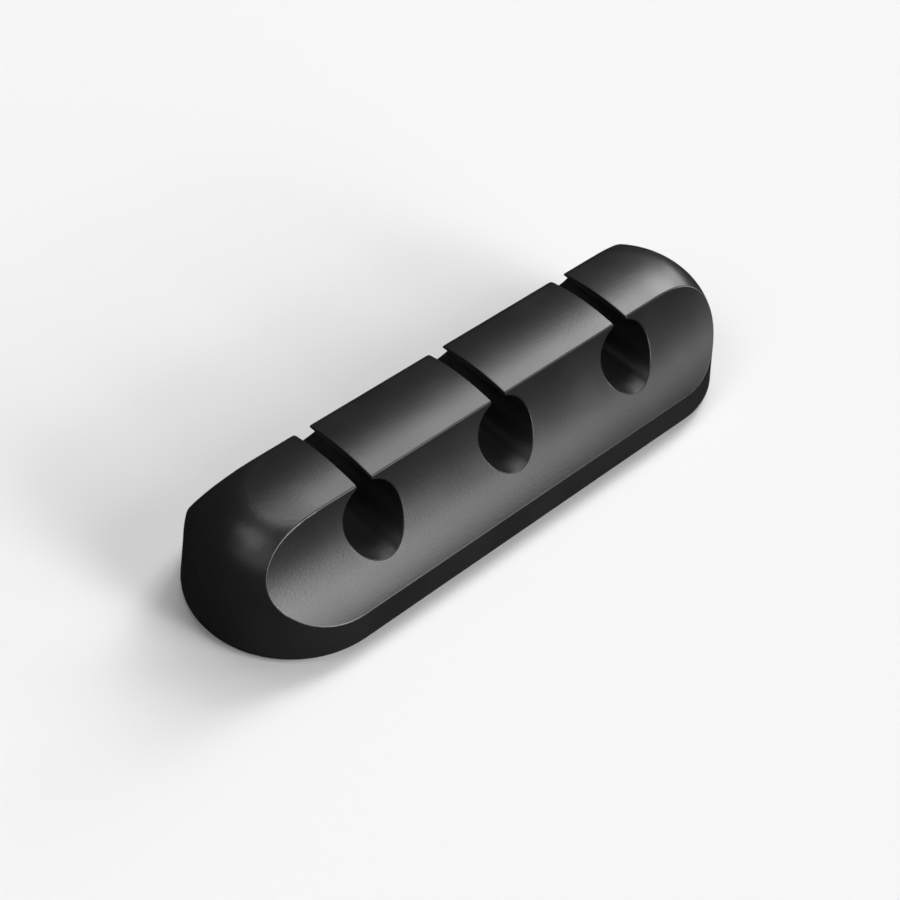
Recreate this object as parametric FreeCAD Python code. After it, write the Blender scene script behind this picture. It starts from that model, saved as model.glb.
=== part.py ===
import FreeCAD, Part
import math
import os

# A soft cable clip that sticks to a desk edge or a wall. One moulded rubber body
# holds cables in round channels, each opened by a slot in its crown. Foam tape
# fills a shallow recess underneath, and a liner covers the tape's sticky face.
#
# The frame: X along the clip, Y along the cables, Z up.
# The origin is under the middle of the clip, on the plane that it rests on.
# All lengths are in millimetres and all angles in degrees.

# Outer form of the body
body_width = 20.5
body_height = 12.3
wall_lean = 5.2
shoulder_radius = 6.9
crown_radius = 22.0

# Flanks cut into the body: a deep hollow in front, and a nearly flat face behind.
# The shares are of the half width, and say how far each side of the crown reaches.
front_crown_share = 0.37
front_hollow_depth = 1.0
back_crown_share = 0.46
back_hollow_depth = 0.35
flank_foot_height = 3.2

# Cable channels and the slots that open them
channel_count = 3
channel_pitch = 16.5
channel_diameter = 6.5
channel_below_front_edge = 0.3
slot_width = 1.7
straight_past_last_channel = 5.0

# Rounded edges of the moulding
front_edge_round = 0.18
back_edge_round = 0.6
foot_edge_round = 0.3
lip_round = 0.3
keyhole_edge_round = 0.12

# Foam tape in its recess, and the liner under it
rim_width = 1.2
recess_depth = 0.6
pad_side_clearance = 0.15
pad_thickness = 1.0
liner_thickness = 0.1

# Sizes that follow from those above
half_width = body_width / 2
front_crown_reach = front_crown_share * half_width
back_crown_reach = back_crown_share * half_width
half_straight = (channel_count - 1) * channel_pitch / 2 + straight_past_last_channel
body_length = 2 * (half_straight + half_width)
foot_z = liner_thickness + pad_thickness - recess_depth
channel_radius = channel_diameter / 2
X_AXIS = FreeCAD.Vector(1, 0, 0)
Y_AXIS = FreeCAD.Vector(0, 1, 0)
Z_AXIS = FreeCAD.Vector(0, 0, 1)
TOLERANCE = 1e-4


def section_point(y, height):
    """A point of the cross-section, with its height counted from the body's foot."""
    return FreeCAD.Vector(0, y, foot_z + height)


def shoulder_centre():
    """Centre of the shoulder arc, which touches the leaning wall and the crown arc from inside."""
    lean = math.radians(wall_lean)
    start_y = half_width - shoulder_radius * math.cos(lean)
    start_height = -shoulder_radius * math.sin(lean)
    rise = start_height - (body_height - crown_radius)
    reach = crown_radius - shoulder_radius
    along = rise * math.cos(lean) - start_y * math.sin(lean)
    travel = -along + math.sqrt(along ** 2 - start_y ** 2 - rise ** 2 + reach ** 2)
    return start_y - travel * math.sin(lean), start_height + travel * math.cos(lean)


def half_section():
    """The cross-section's half at positive Y: foot, leaning wall, shoulder, crown."""
    lean = math.radians(wall_lean)
    centre_y, centre_height = shoulder_centre()
    crown_centre_height = body_height - crown_radius
    meet = math.atan2(centre_height - crown_centre_height, centre_y)

    def on_shoulder(angle):
        y = centre_y + shoulder_radius * math.cos(angle)
        return section_point(y, centre_height + shoulder_radius * math.sin(angle))

    def on_crown(angle):
        y = crown_radius * math.cos(angle)
        return section_point(y, crown_centre_height + crown_radius * math.sin(angle))

    foot_middle = section_point(0, 0)
    foot_corner = section_point(half_width, 0)
    crest = section_point(0, body_height)
    wall_top = on_shoulder(lean)
    shoulder_top = on_shoulder(meet)
    edges = [
        Part.LineSegment(foot_middle, foot_corner).toShape(),
        Part.LineSegment(foot_corner, wall_top).toShape(),
        Part.Arc(wall_top, on_shoulder((lean + meet) / 2), shoulder_top).toShape(),
        Part.Arc(shoulder_top, on_crown((meet + math.pi / 2) / 2), crest).toShape(),
        Part.LineSegment(crest, foot_middle).toShape(),
    ]
    return Part.Face(Part.Wire(edges))


def loaf():
    """Straight middle of the loaf with a round end at each side."""
    half = half_section()
    half.translate(X_AXIS * -half_straight)
    middle = half.extrude(X_AXIS * (2 * half_straight))
    middle = middle.fuse(middle.mirror(FreeCAD.Vector(), Y_AXIS))
    pivot = FreeCAD.Vector(-half_straight, 0, 0)
    left_end = half.revolve(pivot, Z_AXIS, 180)
    right_end = left_end.mirror(FreeCAD.Vector(), X_AXIS)
    return middle.fuse([left_end, right_end]).removeSplitter()


def height_on_crown(y):
    return body_height - crown_radius + math.sqrt(crown_radius ** 2 - y ** 2)


def flank_circle(crown_reach, hollow_depth):
    """Centre and radius of a flank's circle, in the section's half at positive Y."""
    top_height = height_on_crown(crown_reach)
    foot_y = half_width - flank_foot_height * math.tan(math.radians(wall_lean))
    run = foot_y - crown_reach
    drop = top_height - flank_foot_height
    chord = math.hypot(run, drop)
    radius = (chord ** 2 / 4 + hollow_depth ** 2) / (2 * hollow_depth)
    out = (radius - hollow_depth) / chord
    centre_y = (crown_reach + foot_y) / 2 + out * drop
    centre_height = (top_height + flank_foot_height) / 2 + out * run
    return centre_y, centre_height, radius


def flank_cylinder(side, crown_reach, hollow_depth):
    """Long bar that cuts a flank, in front where side is -1 and behind where it is 1."""
    centre_y, centre_height, radius = flank_circle(crown_reach, hollow_depth)
    start = FreeCAD.Vector(-body_length, side * centre_y, foot_z + centre_height)
    return Part.makeCylinder(radius, 2 * body_length, start, X_AXIS)


def points_along(edge):
    span = edge.LastParameter - edge.FirstParameter
    shares = (0.1, 0.3, 0.5, 0.7, 0.9)
    return [edge.valueAt(edge.FirstParameter + share * span) for share in shares]


def lies_on(edge, cylinder):
    """True for an edge that runs along a cylinder's curved face."""
    surface = cylinder.Faces[0].Surface
    return all(
        abs(math.hypot(point.y - surface.Center.y, point.z - surface.Center.z) - surface.Radius) < TOLERANCE
        for point in points_along(edge)
    )


def channel_positions():
    first = -(channel_count - 1) / 2 * channel_pitch
    return [first + index * channel_pitch for index in range(channel_count)]


def channel_height():
    """Height of the channels' axes over the foot. Each channel's top is just under the crown's edges."""
    return height_on_crown(front_crown_reach) - channel_below_front_edge - channel_radius


def keyhole_outline(x):
    """Round channel with its slot on top, and a rounded lip at each side where the two meet."""
    axis_z = foot_z + channel_height()
    lip_x = slot_width / 2 + lip_round
    lip_z = math.sqrt((channel_radius + lip_round) ** 2 - lip_x ** 2)
    lip_angle = math.atan2(lip_z, lip_x)
    slot_end = 2 * body_height

    def at(side, offset_x, offset_z):
        return FreeCAD.Vector(x + side * offset_x, 0, axis_z + offset_z)

    def lip_point(side, angle):
        offset_x = lip_x - lip_round * math.cos(angle)
        return at(side, offset_x, lip_z - lip_round * math.sin(angle))

    edges = [
        Part.Arc(lip_point(-1, lip_angle), at(0, 0, -channel_radius), lip_point(1, lip_angle)).toShape(),
        Part.LineSegment(at(-1, slot_width / 2, slot_end), at(1, slot_width / 2, slot_end)).toShape(),
    ]
    for side in (-1, 1):
        lip = Part.Arc(lip_point(side, lip_angle), lip_point(side, lip_angle / 2), lip_point(side, 0))
        wall = Part.LineSegment(lip_point(side, 0), at(side, slot_width / 2, slot_end))
        edges += [lip.toShape(), wall.toShape()]
    return Part.Wire(Part.sortEdges(edges)[0])


def keyhole_cutter(x):
    outline = keyhole_outline(x)
    outline.translate(Y_AXIS * -body_width)
    return Part.Face(outline).extrude(Y_AXIS * (2 * body_width))


def goes_round(edge, outline):
    """True for an edge of a cut that follows the outline, and false for one straight along Y."""
    if max(edge.BoundBox.XLength, edge.BoundBox.ZLength) < TOLERANCE:
        return False
    return all(
        Part.Vertex(point.x, 0, point.z).distToShape(outline)[0] < TOLERANCE
        for point in points_along(edge)
    )


def foot_plate(inset, bottom, height):
    """Upright plate whose outline runs inside the foot's outline, at an even distance from it."""
    radius = half_width - inset
    plate = Part.makeBox(
        2 * half_straight, 2 * radius, height,
        FreeCAD.Vector(-half_straight, -radius, bottom),
    )
    ends = [
        Part.makeCylinder(radius, height, FreeCAD.Vector(side * half_straight, 0, bottom))
        for side in (-1, 1)
    ]
    return plate.fuse(ends).removeSplitter()


def clip_body():
    body = loaf()
    foot_edges = [edge for edge in body.Edges if abs(edge.BoundBox.ZMax - foot_z) < TOLERANCE]
    body = body.makeFillet(foot_edge_round, foot_edges)
    flanks = (
        (flank_cylinder(-1, front_crown_reach, front_hollow_depth), front_edge_round),
        (flank_cylinder(1, back_crown_reach, back_hollow_depth), back_edge_round),
    )
    for cylinder, edge_round in flanks:
        body = body.cut(cylinder)
        body = body.makeFillet(edge_round, [edge for edge in body.Edges if lies_on(edge, cylinder)])
    body = body.cut([keyhole_cutter(x) for x in channel_positions()])
    for x in channel_positions():
        outline = keyhole_outline(x)
        rim = [edge for edge in body.Edges if goes_round(edge, outline)]
        body = body.makeFillet(keyhole_edge_round, rim)
    return body.cut(foot_plate(rim_width, foot_z, recess_depth))


def adhesive_pad():
    return foot_plate(rim_width + pad_side_clearance, liner_thickness, pad_thickness)


def release_liner():
    return foot_plate(rim_width + pad_side_clearance, 0, liner_thickness)


os.makedirs("parts", exist_ok=True)
pieces = {
    "clip_body": clip_body(),
    "adhesive_pad": adhesive_pad(),
    "release_liner": release_liner(),
}
for name, shape in pieces.items():
    if not shape.isValid() or len(shape.Solids) != 1:
        raise ValueError(name + " is not one sound solid")
    shape.Solids[0].exportStep("parts/" + name + ".step")
    print(name, "volume", round(shape.Volume, 2), "mm3")
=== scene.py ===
import math

import bpy
from mathutils import Matrix, Vector


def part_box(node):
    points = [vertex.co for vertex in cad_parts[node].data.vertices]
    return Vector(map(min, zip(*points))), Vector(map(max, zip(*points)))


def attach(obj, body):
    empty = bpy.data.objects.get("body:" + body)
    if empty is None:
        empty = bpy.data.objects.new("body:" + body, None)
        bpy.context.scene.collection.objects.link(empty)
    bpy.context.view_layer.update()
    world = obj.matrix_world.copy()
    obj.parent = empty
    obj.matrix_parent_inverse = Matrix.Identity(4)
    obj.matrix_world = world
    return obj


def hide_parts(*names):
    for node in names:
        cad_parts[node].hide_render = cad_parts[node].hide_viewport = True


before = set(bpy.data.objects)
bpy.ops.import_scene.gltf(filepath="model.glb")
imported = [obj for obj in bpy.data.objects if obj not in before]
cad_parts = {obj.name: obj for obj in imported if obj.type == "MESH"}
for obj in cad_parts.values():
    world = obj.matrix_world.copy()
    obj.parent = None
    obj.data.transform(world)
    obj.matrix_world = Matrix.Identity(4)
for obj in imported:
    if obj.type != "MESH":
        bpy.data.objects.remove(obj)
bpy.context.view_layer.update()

# All lengths are in metres and all angles in degrees, unless a name says otherwise.
# Azimuth 0 is on the -Y side, in front of the hollow flank, and 90 is on the +X side.
# Elevation is above the horizon.

# Camera
CAMERA_AZIMUTH = -46.83
CAMERA_ELEVATION = 45.95
CAMERA_ROLL = 4.93
CAMERA_DISTANCE = 0.1817
CAMERA_AIM = Vector((-0.00022, 0.00149, 0.00133))
CAMERA_LENS_MM = 74.2
CAMERA_NEAREST = 0.01
CAMERA_FURTHEST = 20
SENSOR_WIDTH_MM = 36.0

# Lamps: name, azimuth, elevation, width and height as angles, and weight.
# The weight is how brightly a lamp would light a white card that faces it.
SOFTBOX_DISTANCE = 12.0
SOFTBOXES = (
    ("front_softbox", 15, 20, 16, 16, 0.36),
    ("front_top_softbox", 27, 34, 20, 24, 0.34),
    ("front_low_strip", 8, 9, 26, 12, 0.28),
    ("corner_low_strip", 60, 9, 16, 12, 0.24),
    ("side_softbox", 106, 41, 18, 22, 0.40),
    ("side_low_softbox", 102, 19, 22, 18, 0.18),
    ("side_top_softbox", 120, 56, 16, 14, 0.15),
    ("back_top_softbox", 150, 70, 22, 18, 0.16),
    ("left_top_softbox", 245, 58, 24, 20, 0.11),
    ("left_softbox", 275, 42, 44, 28, 0.12),
)

# World: the little light that it gives, and how bright the camera sees it past the floor's edge
WORLD_STRENGTH = 0.01
BACKDROP_STRENGTH = 0.93
WHITE = (1, 1, 1, 1)

# Floor: a round pale table
FLOOR_RADIUS = 0.6
FLOOR_SIDES = 128
FLOOR_COLOR = (0.83, 0.83, 0.83)
FLOOR_ROUGHNESS = 0.9

# Rubber: patches of tone and gloss, slow waves, and the fine grain of the mould
RUBBER_COLOR = (0.012, 0.012, 0.012)
RUBBER_ROUGHNESS = 0.3
RUBBER_PATCH_SIZE = 0.006
RUBBER_PATCH_DARK = (0.0115, 0.0115, 0.012)
RUBBER_PATCH_LIGHT = (0.0155, 0.0155, 0.0155)
RUBBER_PATCH_SATIN = 0.28
RUBBER_PATCH_DULL = 0.32
RUBBER_WAVE_SIZE = 0.009
RUBBER_WAVE_DEPTH = 0.00001
RUBBER_GRAIN_SIZE = 0.00025
RUBBER_GRAIN_DEPTH = 0.000008

# Foam: cells with light middles, and low borders between them darkened with painted shade, over a
# soft unevenness
FOAM_COLOR = (0.86, 0.86, 0.83)
FOAM_ROUGHNESS = 0.9
FOAM_CELL_SIZE = 0.00022
FOAM_CELL_DEPTH = 0.00005
FOAM_CELL_MIDDLE = (0.88, 0.88, 0.85)
FOAM_GROOVE_SHADE = (0.68, 0.68, 0.64)
FOAM_GROOVE_SHADE_START = 0.35
FOAM_WAVE_SIZE = 0.0015
FOAM_WAVE_DEPTH = 0.00003

# Foam pad: how far and how sharply its cut edge is pulled in at top and bottom, and how
# finely it is divided round the edge and over its height
FOAM_EDGE_PULL = 0.00012
FOAM_EDGE_POWER = 4
FOAM_STEP = 0.0004
FOAM_LAYERS = 8

# Liner: clouds of tone, fibres that are long in X, and a slight cockle
LINER_COLOR = (0.93, 0.92, 0.88)
LINER_ROUGHNESS = 0.45
LINER_CLOUD_SIZE = 0.004
LINER_CLOUD_DARK = (0.91, 0.90, 0.85)
LINER_CLOUD_LIGHT = (0.94, 0.93, 0.90)
LINER_FIBRE_SIZE = 0.0002
LINER_FIBRE_STRETCH = (0.2, 1, 1)
LINER_FIBRE_DEPTH = 0.000002
LINER_FIBRE_SATIN = 0.4
LINER_FIBRE_DULL = 0.52
LINER_COCKLE_SIZE = 0.012
LINER_COCKLE_DEPTH = 0.00002


def add_object(name, data):
    """A new object in the scene."""
    thing = bpy.data.objects.new(name, data)
    bpy.context.scene.collection.objects.link(thing)
    return thing


def direction(azimuth, elevation):
    """The unit vector from the object towards a camera or lamp."""
    a, e = math.radians(azimuth), math.radians(elevation)
    return Vector((math.sin(a) * math.cos(e), -math.cos(a) * math.cos(e), math.sin(e)))


def new_material(name, color, roughness):
    """A new material with one plain colour and roughness, and its shader."""
    material = bpy.data.materials.new(name)
    material.use_nodes = True
    shader = material.node_tree.nodes["Principled BSDF"]
    shader.inputs["Base Color"].default_value = (*color, 1)
    shader.inputs["Roughness"].default_value = roughness
    return material, shader


def add_node(tree, kind, inputs):
    """A new node. Each input is a plain value or another node's socket."""
    node = tree.nodes.new(kind)
    for name, value in inputs.items():
        if isinstance(value, bpy.types.NodeSocket):
            tree.links.new(value, node.inputs[name])
        else:
            node.inputs[name].default_value = value
    return node


def noise(tree, size, detail=2.0, stretch=(1, 1, 1)):
    """Soft noise whose lumps are about the given size, over the object's own coordinates."""
    place = add_node(tree, "ShaderNodeTexCoord", {}).outputs["Object"]
    mapping = add_node(tree, "ShaderNodeMapping", {"Vector": place, "Scale": stretch})
    inputs = {"Vector": mapping.outputs["Vector"], "Scale": 1 / size, "Detail": detail}
    return add_node(tree, "ShaderNodeTexNoise", inputs).outputs["Fac"]


def cells(tree, size):
    """Distance from the middle of the nearest foam cell, in cell sizes."""
    place = add_node(tree, "ShaderNodeTexCoord", {}).outputs["Object"]
    inputs = {"Vector": place, "Scale": 1 / size}
    return add_node(tree, "ShaderNodeTexVoronoi", inputs).outputs["Distance"]


def spread(tree, value, low, high, start=0.2, end=0.8):
    """Stretches the middle of a noise over a range of values, with soft ends."""
    inputs = {"Value": value, "From Min": start, "From Max": end, "To Min": low, "To Max": high}
    node = add_node(tree, "ShaderNodeMapRange", inputs)
    node.interpolation_type = "SMOOTHSTEP"
    return node.outputs["Result"]


def tint(tree, value, first, second, start=0.2, end=0.8):
    """A colour that goes from the first to the second over the middle of a noise."""
    node = tree.nodes.new("ShaderNodeMix")
    node.data_type = "RGBA"
    tree.links.new(spread(tree, value, 0, 1, start, end), node.inputs["Factor"])
    colors = [socket for socket in node.inputs if socket.type == "RGBA"]
    for socket, color in zip(colors, (first, second)):
        socket.default_value = (*color, 1)
    return next(socket for socket in node.outputs if socket.type == "RGBA")


def bump(tree, height, depth, below=None):
    """A relief of the given depth, laid over another one if below names it."""
    inputs = {"Height": height, "Distance": depth, "Strength": 1.0}
    if below is not None:
        inputs["Normal"] = below
    return add_node(tree, "ShaderNodeBump", inputs).outputs["Normal"]


def body_rubber():
    """Near-black soft rubber from a finely blasted mould: satin, with slow waves and fine grain."""
    material, shader = new_material("satin_black_rubber", RUBBER_COLOR, RUBBER_ROUGHNESS)
    tree = material.node_tree
    patches = noise(tree, RUBBER_PATCH_SIZE, detail=3)
    color = tint(tree, patches, RUBBER_PATCH_DARK, RUBBER_PATCH_LIGHT)
    gloss = spread(tree, patches, RUBBER_PATCH_SATIN, RUBBER_PATCH_DULL)
    waves = bump(tree, noise(tree, RUBBER_WAVE_SIZE), RUBBER_WAVE_DEPTH)
    grain = bump(tree, noise(tree, RUBBER_GRAIN_SIZE), RUBBER_GRAIN_DEPTH, waves)
    tree.links.new(color, shader.inputs["Base Color"])
    tree.links.new(gloss, shader.inputs["Roughness"])
    tree.links.new(grain, shader.inputs["Normal"])
    return material


def foam_tape():
    """Off-white closed-cell foam, cut with a blade, so that its edge shows small round cells."""
    material, shader = new_material("off_white_foam", FOAM_COLOR, FOAM_ROUGHNESS)
    tree = material.node_tree
    cell = cells(tree, FOAM_CELL_SIZE)
    # The borders between the raised cells lie low in the relief, and they are darkened there with
    # painted shade
    color = tint(tree, cell, FOAM_CELL_MIDDLE, FOAM_GROOVE_SHADE, start=FOAM_GROOVE_SHADE_START)
    soft = bump(tree, noise(tree, FOAM_WAVE_SIZE), FOAM_WAVE_DEPTH)
    # The distance grows from a cell's middle, so the depth is turned round to raise the middles
    relief = bump(tree, cell, -FOAM_CELL_DEPTH, soft)
    tree.links.new(color, shader.inputs["Base Color"])
    tree.links.new(relief, shader.inputs["Normal"])
    return material


def liner_paper():
    """Off-white paper with a smooth release coat, faint fibres and a slight cockle."""
    material, shader = new_material("coated_liner_paper", LINER_COLOR, LINER_ROUGHNESS)
    tree = material.node_tree
    fibres = noise(tree, LINER_FIBRE_SIZE, detail=4, stretch=LINER_FIBRE_STRETCH)
    clouds = noise(tree, LINER_CLOUD_SIZE, detail=3)
    color = tint(tree, clouds, LINER_CLOUD_DARK, LINER_CLOUD_LIGHT)
    gloss = spread(tree, fibres, LINER_FIBRE_SATIN, LINER_FIBRE_DULL)
    cockle = bump(tree, noise(tree, LINER_COCKLE_SIZE), LINER_COCKLE_DEPTH)
    relief = bump(tree, fibres, LINER_FIBRE_DEPTH, cockle)
    tree.links.new(color, shader.inputs["Base Color"])
    tree.links.new(gloss, shader.inputs["Roughness"])
    tree.links.new(relief, shader.inputs["Normal"])
    return material


def dress(node, material):
    """Gives a CAD node's own mesh a better material."""
    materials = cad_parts[node].data.materials
    materials.clear()
    materials.append(material)


def stadium_outline(half_straight, radius):
    """Points round a straight-sided outline with round ends, about one step apart."""
    points = []
    arc_steps = round(math.pi * radius / FOAM_STEP)
    straight_steps = round(2 * half_straight / FOAM_STEP)
    for side in (1, -1):
        for step in range(arc_steps):
            turn = math.pi * (step / arc_steps - 0.5)
            x = half_straight + radius * math.cos(turn)
            points.append((side * x, side * radius * math.sin(turn)))
        for step in range(straight_steps):
            x = half_straight * (1 - 2 * step / straight_steps)
            points.append((side * x, side * radius))
    return points


def foam_pad():
    """The foam pad with a cut edge that bulges a little between its two glued faces."""
    low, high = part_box("adhesive_pad")
    radius = (high.y - low.y) / 2
    half_straight = (high.x - low.x) / 2 - radius
    ring = stadium_outline(half_straight, radius)
    count = len(ring)
    vertices, faces = [], []
    for layer in range(FOAM_LAYERS + 1):
        share = layer / FOAM_LAYERS
        pull = FOAM_EDGE_PULL * (2 * share - 1) ** FOAM_EDGE_POWER
        scale = (radius - pull) / radius
        height = low.z + share * (high.z - low.z)
        for x, y in ring:
            middle = max(-half_straight, min(half_straight, x))
            vertices.append((middle + (x - middle) * scale, y * scale, height))
    for layer in range(FOAM_LAYERS):
        for index in range(count):
            after = (index + 1) % count
            a, b = layer * count + index, layer * count + after
            faces.append((a, b, b + count, a + count))
    faces.append(tuple(reversed(range(count))))
    faces.append(tuple(range(FOAM_LAYERS * count, (FOAM_LAYERS + 1) * count)))
    mesh = bpy.data.meshes.new("foam_pad")
    mesh.from_pydata(vertices, [], faces)
    mesh.update()
    # The wall's four-sided faces are shaded as one curve, and the two glued faces stay flat
    for polygon in mesh.polygons:
        polygon.use_smooth = len(polygon.vertices) == 4
    mesh.materials.append(foam_tape())
    piece = add_object("foam_pad", mesh)
    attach(piece, "root")
    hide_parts("adhesive_pad")


def add_camera():
    """A camera at the photograph's angle, with its slight roll."""
    back = direction(CAMERA_AZIMUTH, CAMERA_ELEVATION)
    a, roll = math.radians(CAMERA_AZIMUTH), math.radians(CAMERA_ROLL)
    level_right = Vector((math.cos(a), math.sin(a), 0))
    level_up = back.cross(level_right)
    right = math.cos(roll) * level_right + math.sin(roll) * level_up
    up = math.cos(roll) * level_up - math.sin(roll) * level_right
    data = bpy.data.cameras.new("camera")
    data.lens = CAMERA_LENS_MM
    data.sensor_width = SENSOR_WIDTH_MM
    data.clip_start = CAMERA_NEAREST
    data.clip_end = CAMERA_FURTHEST
    camera = add_object("camera", data)
    turn = Matrix((right, up, back)).transposed().to_4x4()
    camera.matrix_world = Matrix.Translation(CAMERA_AIM + back * CAMERA_DISTANCE) @ turn
    bpy.context.scene.camera = camera


def add_floor():
    """A round pale floor that keeps the object's soft shadow."""
    corners = []
    for side in range(FLOOR_SIDES):
        turn = 2 * math.pi * side / FLOOR_SIDES
        corners.append((FLOOR_RADIUS * math.cos(turn), FLOOR_RADIUS * math.sin(turn), 0))
    mesh = bpy.data.meshes.new("floor")
    mesh.from_pydata(corners, [], [tuple(range(FLOOR_SIDES))])
    material, shader = new_material("floor_paint", FLOOR_COLOR, FLOOR_ROUGHNESS)
    # A dead matt paint, so that no lamp glares on it when it is seen against the light
    shader.inputs["Specular IOR Level"].default_value = 0.0
    mesh.materials.append(material)
    floor = add_object("floor", mesh)
    # The photograph is a cut-out whose lower walls mirror no pale ground
    floor.visible_glossy = False


def add_world():
    """An almost dark world that only the camera sees as a pale backdrop, which lights nothing."""
    world = bpy.data.worlds.new("studio")
    bpy.context.scene.world = world
    world.use_nodes = True
    tree = world.node_tree
    light = tree.nodes["Background"]
    light.inputs["Color"].default_value = WHITE
    light.inputs["Strength"].default_value = WORLD_STRENGTH
    inputs = {"Color": WHITE, "Strength": BACKDROP_STRENGTH}
    backdrop = add_node(tree, "ShaderNodeBackground", inputs)
    seen = add_node(tree, "ShaderNodeLightPath", {}).outputs["Is Camera Ray"]
    choice = add_node(tree, "ShaderNodeMixShader", {"Fac": seen})
    # The mix's inputs 1 and 2 are its two shaders, which bear the same name
    tree.links.new(light.outputs["Background"], choice.inputs[1])
    tree.links.new(backdrop.outputs["Background"], choice.inputs[2])
    tree.links.new(choice.outputs["Shader"], tree.nodes["World Output"].inputs["Surface"])


def add_softbox(name, azimuth, elevation, width_angle, height_angle, weight):
    """A rectangular lamp that faces the object and that the camera doesn't see."""
    data = bpy.data.lights.new(name, "AREA")
    data.shape = "RECTANGLE"
    data.size = 2 * SOFTBOX_DISTANCE * math.tan(math.radians(width_angle / 2))
    data.size_y = 2 * SOFTBOX_DISTANCE * math.tan(math.radians(height_angle / 2))
    # A lamp of this power lights a white card at that distance to the weight
    data.energy = weight * math.pi ** 2 * SOFTBOX_DISTANCE ** 2
    lamp = add_object(name, data)
    towards = direction(azimuth, elevation)
    lamp.location = towards * SOFTBOX_DISTANCE
    lamp.rotation_mode = "QUATERNION"
    lamp.rotation_quaternion = towards.to_track_quat("Z", "Y")
    lamp.visible_camera = False


dress("clip_body", body_rubber())
dress("release_liner", liner_paper())
foam_pad()
add_camera()
add_floor()
add_world()
for softbox in SOFTBOXES:
    add_softbox(*softbox)
bpy.context.scene.view_settings.view_transform = "Standard"
